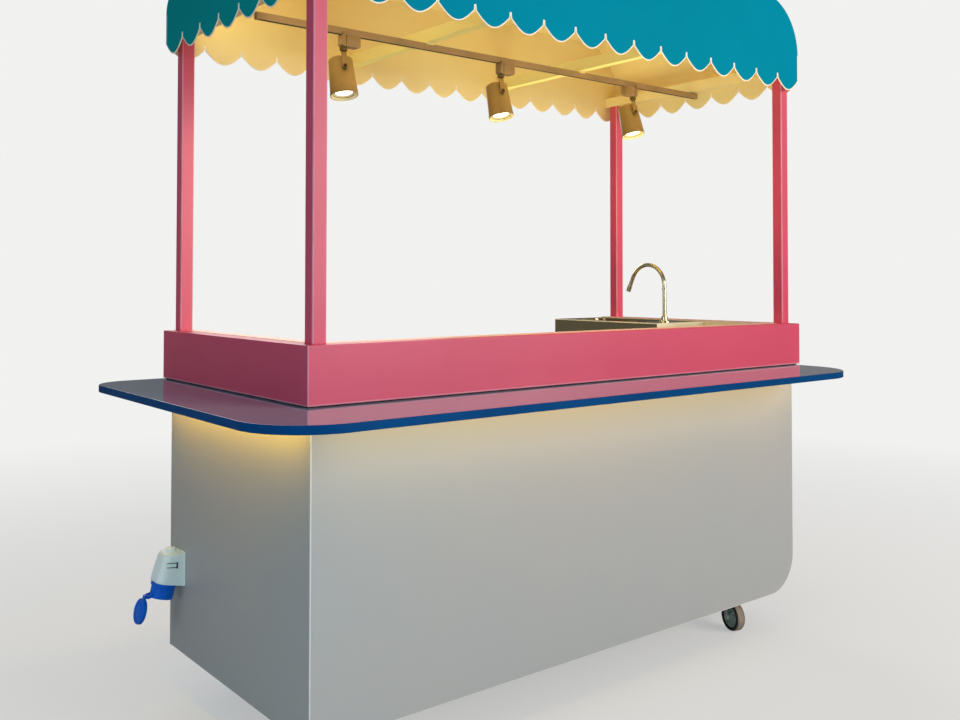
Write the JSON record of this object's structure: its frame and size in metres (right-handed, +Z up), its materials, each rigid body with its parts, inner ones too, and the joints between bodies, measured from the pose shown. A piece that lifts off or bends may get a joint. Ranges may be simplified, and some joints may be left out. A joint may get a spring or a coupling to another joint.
{
  "type": "street kiosk",
  "caption": "Wheeled street kiosk: panelled body, glossy counter shelf, boxed upstand with posts, loaf-shaped canopy with scalloped valances, track spotlights, sink and power inlet.",
  "frame": {"origin": "middle of the whole outline's box, on the floor", "axes": "+Z up, +X along the front towards the sink end, +Y from the customers' front to the operator's back"},
  "size_m": [2.26, 1.194, 2.279],
  "materials": {
    "body_white": "satin",
    "counter_blue": "high gloss",
    "strip_light": "frosted",
    "stainless": "brushed",
    "joint_dark": "matt",
    "frame_pink": "satin",
    "frame_cream": "satin",
    "canopy_teal": "satin",
    "light_silver": "satin",
    "tap_chrome": "polished",
    "inlet_grey": "matt",
    "inlet_blue": "satin",
    "castor_steel": "zinc plated",
    "castor_rubber": "matt"
  },
  "bodies": {
    "kiosk": {"floor_panel": "body_white", "front_panel": "body_white", "back_panel": "body_white", "left_panel": "body_white", "right_panel": "body_white", "counter_top": "counter_blue", "light_strip": "strip_light", "worktop": "stainless", "dark_joint": "joint_dark", "upstand_front": "frame_pink", "upstand_left": "frame_pink", "upstand_right": "frame_pink", "post_front_left": "frame_pink", "post_front_right": "frame_pink", "post_back_left": "frame_pink", "post_back_right": "frame_pink", "left_rail": "frame_cream", "right_rail": "frame_cream", "cross_bars": "frame_cream", "front_fascia": "canopy_teal", "back_fascia": "canopy_teal", "left_valance": "canopy_teal", "right_valance": "canopy_teal", "roof_sheet": "canopy_teal", "light_track": "light_silver", "track_adapters": "light_silver", "sink_unit": "stainless", "tap_base": "tap_chrome", "inlet_housing": "inlet_grey", "inlet_socket": "inlet_blue", "castor_plates": "castor_steel"},
    "spot_arm_1": {"spot_arm_1": "light_silver"},
    "spot_arm_2": {"spot_arm_2": "light_silver"},
    "spot_arm_3": {"spot_arm_3": "light_silver"},
    "spot_head_1": {"spot_head_1": "light_silver"},
    "spot_head_2": {"spot_head_2": "light_silver"},
    "spot_head_3": {"spot_head_3": "light_silver"},
    "tap_spout": {"tap_spout": "tap_chrome"},
    "inlet_lid": {"inlet_lid": "inlet_blue"},
    "castor_fork_1": {"castor_fork_1": "castor_steel"},
    "castor_fork_2": {"castor_fork_2": "castor_steel"},
    "castor_fork_3": {"castor_fork_3": "castor_steel"},
    "castor_fork_4": {"castor_fork_4": "castor_steel"},
    "castor_wheel_1": {"castor_wheel_1": "castor_rubber"},
    "castor_wheel_2": {"castor_wheel_2": "castor_rubber"},
    "castor_wheel_3": {"castor_wheel_3": "castor_rubber"},
    "castor_wheel_4": {"castor_wheel_4": "castor_rubber"}
  },
  "joints": [
    {"name": "spot_1_swivel", "type": "hinge", "parent": "kiosk", "child": "spot_arm_1", "pos_m": [-0.545, 0.117, 1.941], "axis": [0, 0, 1], "range_deg": [-170, 170]},
    {"name": "spot_1_tilt", "type": "hinge", "parent": "spot_arm_1", "child": "spot_head_1", "pos_m": [-0.545, 0.10702, 1.88805], "axis": [0.2924, 0.9354, -0.1988], "range_deg": [-85, 85]},
    {"name": "spot_2_swivel", "type": "hinge", "parent": "kiosk", "child": "spot_arm_2", "pos_m": [0.071, 0.117, 1.941], "axis": [0, 0, 1], "range_deg": [-170, 170]},
    {"name": "spot_2_tilt", "type": "hinge", "parent": "spot_arm_2", "child": "spot_head_2", "pos_m": [0.071, 0.10539, 1.88843], "axis": [0.2924, 0.9279, -0.2314], "range_deg": [-85, 85]},
    {"name": "spot_3_swivel", "type": "hinge", "parent": "kiosk", "child": "spot_arm_3", "pos_m": [0.729, 0.117, 1.941], "axis": [0, 0, 1], "range_deg": [-170, 170]},
    {"name": "spot_3_tilt", "type": "hinge", "parent": "spot_arm_3", "child": "spot_head_3", "pos_m": [0.729, 0.10458, 1.88864], "axis": [0.2924, 0.9237, -0.2475], "range_deg": [-85, 85]},
    {"name": "tap_swivel", "type": "hinge", "parent": "kiosk", "child": "tap_spout", "pos_m": [0.86, 0.077, 1.111], "axis": [0, 0, 1], "range_deg": [-90, 90]},
    {"name": "inlet_lid_hinge", "type": "hinge", "parent": "kiosk", "child": "inlet_lid", "pos_m": [-0.98882, 0.487, 0.30666], "axis": [0, 1, 0], "range_deg": [-92, 30]},
    {"name": "castor_1_swivel", "type": "hinge", "parent": "kiosk", "child": "castor_fork_1", "pos_m": [-0.66, -0.193, 0.121], "axis": [0, 0, 1], "continuous": true},
    {"name": "castor_1_spin", "type": "hinge", "parent": "castor_fork_1", "child": "castor_wheel_1", "pos_m": [-0.67437, -0.22381, 0.05], "axis": [0.9063, -0.4226, 0], "continuous": true},
    {"name": "castor_2_swivel", "type": "hinge", "parent": "kiosk", "child": "castor_fork_2", "pos_m": [0.88, -0.193, 0.121], "axis": [0, 0, 1], "continuous": true},
    {"name": "castor_2_spin", "type": "hinge", "parent": "castor_fork_2", "child": "castor_wheel_2", "pos_m": [0.86949, -0.22534, 0.05], "axis": [0.9511, -0.309, 0], "continuous": true},
    {"name": "castor_3_swivel", "type": "hinge", "parent": "kiosk", "child": "castor_fork_3", "pos_m": [0.88, 0.442, 0.121], "axis": [0, 0, 1], "continuous": true},
    {"name": "castor_3_spin", "type": "hinge", "parent": "castor_fork_3", "child": "castor_wheel_3", "pos_m": [0.8888, 0.47484, 0.05], "axis": [-0.9659, 0.2588, 0], "continuous": true},
    {"name": "castor_4_swivel", "type": "hinge", "parent": "kiosk", "child": "castor_fork_4", "pos_m": [-0.66, 0.442, 0.121], "axis": [0, 0, 1], "continuous": true},
    {"name": "castor_4_spin", "type": "hinge", "parent": "castor_fork_4", "child": "castor_wheel_4", "pos_m": [-0.6659, 0.47548, 0.05], "axis": [-0.9848, -0.1736, 0], "continuous": true}
  ]
}
